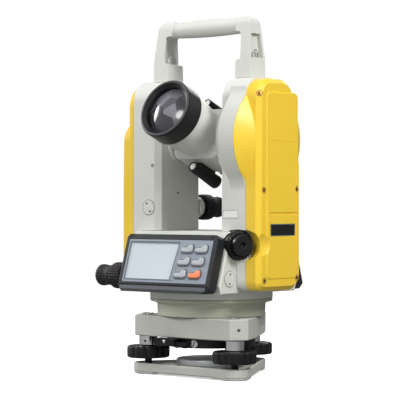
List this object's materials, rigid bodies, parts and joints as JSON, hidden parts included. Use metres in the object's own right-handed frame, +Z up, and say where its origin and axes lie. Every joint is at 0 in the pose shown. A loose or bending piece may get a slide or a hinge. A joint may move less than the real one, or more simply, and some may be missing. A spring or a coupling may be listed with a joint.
{
  "type": "theodolite",
  "caption": "Electronic theodolite: three-screw tribrach, turning alidade with two keyboards, tilting telescope between two standards, and a carrying handle.",
  "frame": {"origin": "on the vertical axis, in the plane of the three pads under the base plate", "axes": "+Z up along the vertical axis, -Y towards the main keyboard, +X towards the right standard, which has the round drum"},
  "size_m": [0.183, 0.1603, 0.336],
  "materials": {
    "cast_gray": "satin gray paint on an aluminium casting",
    "body_gray": "light gray fine-textured paint on an aluminium casting",
    "ring_gray": "warm gray satin paint, turned",
    "black_paint": "black satin paint",
    "black_plastic": "black fine-grained moulded plastic",
    "satin_black": "satin black anodised",
    "yellow_plastic": "yellow moulded plastic, satin gloss",
    "steel": "turned steel",
    "chrome": "bright chrome plate",
    "circle_glass": "clear optical glass",
    "lens_glass": "coated optical glass with a faint violet reflection",
    "display": "pale blue-gray liquid-crystal window",
    "panel_blue": "blue-gray satin overlay",
    "key_gray": "light gray silicone rubber",
    "key_orange": "orange silicone rubber"
  },
  "bodies": {
    "tribrach": {"base_plate": "cast_gray", "centre_bush": "steel", "spring_plate": "steel", "tribrach_body": "cast_gray", "circular_level": "chrome", "lower_base": "ring_gray", "horizontal_circle": "circle_glass", "foot_bush_front_left": "chrome", "foot_bush_front_right": "chrome", "foot_bush_rear": "chrome"},
    "foot_screw_front_left": {"foot_screw_front_left": "black_paint"},
    "foot_screw_front_right": {"foot_screw_front_right": "black_paint"},
    "foot_screw_rear": {"foot_screw_rear": "black_paint"},
    "swivel_lock": {"lock_ring": "black_paint", "lock_lever": "black_paint"},
    "alidade": {"alidade_base": "body_gray", "vertical_spindle": "steel", "plate_level": "circle_glass", "plummet_tube": "black_plastic", "right_standard": "body_gray", "left_standard": "body_gray", "right_cover": "yellow_plastic", "left_cover": "yellow_plastic", "battery_pack": "black_plastic", "handle": "body_gray", "keyboard_housing_front": "black_plastic", "key_panel_front": "panel_blue", "display_front": "display", "keyboard_housing_rear": "black_plastic", "key_panel_rear": "panel_blue", "display_rear": "display"},
    "telescope": {"telescope_body": "body_gray", "objective_hood": "satin_black", "objective_lens": "lens_glass", "sight_upper": "black_plastic", "sight_lower": "black_plastic", "vertical_circle": "circle_glass"},
    "focus_ring": {"focus_ring": "black_plastic"},
    "eyepiece": {"eyepiece": "black_plastic"},
    "plummet_focus_ring": {"plummet_focus_ring": "black_plastic"},
    "plummet_eyepiece": {"plummet_eyepiece": "black_plastic"},
    "horizontal_clamp": {"horizontal_clamp": "black_plastic"},
    "horizontal_tangent": {"horizontal_tangent": "black_plastic"},
    "vertical_clamp": {"vertical_clamp": "black_plastic"},
    "vertical_tangent": {"vertical_tangent": "black_plastic"},
    "key_front_1a": {"key_front_1a": "key_gray"},
    "key_front_1b": {"key_front_1b": "key_gray"},
    "key_front_2a": {"key_front_2a": "key_gray"},
    "key_front_2b": {"key_front_2b": "key_gray"},
    "key_front_3a": {"key_front_3a": "key_gray"},
    "key_front_3b": {"key_front_3b": "key_orange"},
    "key_rear_1a": {"key_rear_1a": "key_gray"},
    "key_rear_1b": {"key_rear_1b": "key_gray"},
    "key_rear_2a": {"key_rear_2a": "key_gray"},
    "key_rear_2b": {"key_rear_2b": "key_gray"},
    "key_rear_3a": {"key_rear_3a": "key_gray"},
    "key_rear_3b": {"key_rear_3b": "key_orange"}
  },
  "joints": [
    {"name": "alidade_turn", "type": "hinge", "parent": "tribrach", "child": "alidade", "pos_m": [0, 0, 0.073], "axis": [0, 0, 1], "continuous": true},
    {"name": "telescope_tilt", "type": "hinge", "parent": "alidade", "child": "telescope", "pos_m": [0, 0, 0.221], "axis": [1, 0, 0], "continuous": true},
    {"name": "focus_turn", "type": "hinge", "parent": "telescope", "child": "focus_ring", "pos_m": [0, 0, 0.221], "axis": [0, -0.9205, 0.3907], "range_deg": [-270, 270]},
    {"name": "eyepiece_turn", "type": "hinge", "parent": "telescope", "child": "eyepiece", "pos_m": [0, 0, 0.221], "axis": [0, -0.9205, 0.3907], "range_deg": [-120, 120]},
    {"name": "vertical_clamp_turn", "type": "hinge", "parent": "alidade", "child": "vertical_clamp", "pos_m": [-0.0465, 0.036, 0.158], "axis": [0, 1, 0], "range_deg": [-45, 45]},
    {"name": "vertical_tangent_turn", "type": "hinge", "parent": "alidade", "child": "vertical_tangent", "pos_m": [-0.0465, 0.05, 0.158], "axis": [0, 1, 0], "range_deg": [-1800, 1800]},
    {"name": "horizontal_clamp_turn", "type": "hinge", "parent": "alidade", "child": "horizontal_clamp", "pos_m": [-0.065, -0.048, 0.093], "axis": [-1, 0, 0], "range_deg": [-45, 45]},
    {"name": "horizontal_tangent_turn", "type": "hinge", "parent": "alidade", "child": "horizontal_tangent", "pos_m": [-0.085, -0.048, 0.093], "axis": [-1, 0, 0], "range_deg": [-1800, 1800]},
    {"name": "plummet_focus_turn", "type": "hinge", "parent": "alidade", "child": "plummet_focus_ring", "pos_m": [0, 0, 0.124], "axis": [0.866, -0.5, 0], "range_deg": [-180, 180]},
    {"name": "plummet_eyepiece_turn", "type": "hinge", "parent": "alidade", "child": "plummet_eyepiece", "pos_m": [0, 0, 0.124], "axis": [0.866, -0.5, 0], "range_deg": [-120, 120]},
    {"name": "foot_screw_front_left_turn", "type": "hinge", "parent": "tribrach", "child": "foot_screw_front_left", "pos_m": [-0.05283, -0.0305, 0.02], "axis": [0, 0, 1], "range_deg": [-720, 720]},
    {"name": "foot_screw_front_right_turn", "type": "hinge", "parent": "tribrach", "child": "foot_screw_front_right", "pos_m": [0.05283, -0.0305, 0.02], "axis": [0, 0, 1], "range_deg": [-720, 720]},
    {"name": "foot_screw_rear_turn", "type": "hinge", "parent": "tribrach", "child": "foot_screw_rear", "pos_m": [0, 0.061, 0.02], "axis": [0, 0, 1], "range_deg": [-720, 720]},
    {"name": "lock_lever_turn", "type": "hinge", "parent": "tribrach", "child": "swivel_lock", "pos_m": [0, 0, 0.03], "axis": [0, 0, 1], "range_deg": [0, 40]},
    {"name": "key_front_1a_press", "type": "slide", "parent": "alidade", "child": "key_front_1a", "axis": [0, 0.9558, -0.294], "range_m": [0, 0.0008], "stiffness_N_per_m": 600, "springref_m": -0.0008},
    {"name": "key_front_1b_press", "type": "slide", "parent": "alidade", "child": "key_front_1b", "axis": [0, 0.9558, -0.294], "range_m": [0, 0.0008], "stiffness_N_per_m": 600, "springref_m": -0.0008},
    {"name": "key_front_2a_press", "type": "slide", "parent": "alidade", "child": "key_front_2a", "axis": [0, 0.9558, -0.294], "range_m": [0, 0.0008], "stiffness_N_per_m": 600, "springref_m": -0.0008},
    {"name": "key_front_2b_press", "type": "slide", "parent": "alidade", "child": "key_front_2b", "axis": [0, 0.9558, -0.294], "range_m": [0, 0.0008], "stiffness_N_per_m": 600, "springref_m": -0.0008},
    {"name": "key_front_3a_press", "type": "slide", "parent": "alidade", "child": "key_front_3a", "axis": [0, 0.9558, -0.294], "range_m": [0, 0.0008], "stiffness_N_per_m": 600, "springref_m": -0.0008},
    {"name": "key_front_3b_press", "type": "slide", "parent": "alidade", "child": "key_front_3b", "axis": [0, 0.9558, -0.294], "range_m": [0, 0.0008], "stiffness_N_per_m": 600, "springref_m": -0.0008},
    {"name": "key_rear_1a_press", "type": "slide", "parent": "alidade", "child": "key_rear_1a", "axis": [0, -0.9558, -0.294], "range_m": [0, 0.0008], "stiffness_N_per_m": 600, "springref_m": -0.0008},
    {"name": "key_rear_1b_press", "type": "slide", "parent": "alidade", "child": "key_rear_1b", "axis": [0, -0.9558, -0.294], "range_m": [0, 0.0008], "stiffness_N_per_m": 600, "springref_m": -0.0008},
    {"name": "key_rear_2a_press", "type": "slide", "parent": "alidade", "child": "key_rear_2a", "axis": [0, -0.9558, -0.294], "range_m": [0, 0.0008], "stiffness_N_per_m": 600, "springref_m": -0.0008},
    {"name": "key_rear_2b_press", "type": "slide", "parent": "alidade", "child": "key_rear_2b", "axis": [0, -0.9558, -0.294], "range_m": [0, 0.0008], "stiffness_N_per_m": 600, "springref_m": -0.0008},
    {"name": "key_rear_3a_press", "type": "slide", "parent": "alidade", "child": "key_rear_3a", "axis": [0, -0.9558, -0.294], "range_m": [0, 0.0008], "stiffness_N_per_m": 600, "springref_m": -0.0008},
    {"name": "key_rear_3b_press", "type": "slide", "parent": "alidade", "child": "key_rear_3b", "axis": [0, -0.9558, -0.294], "range_m": [0, 0.0008], "stiffness_N_per_m": 600, "springref_m": -0.0008}
  ]
}
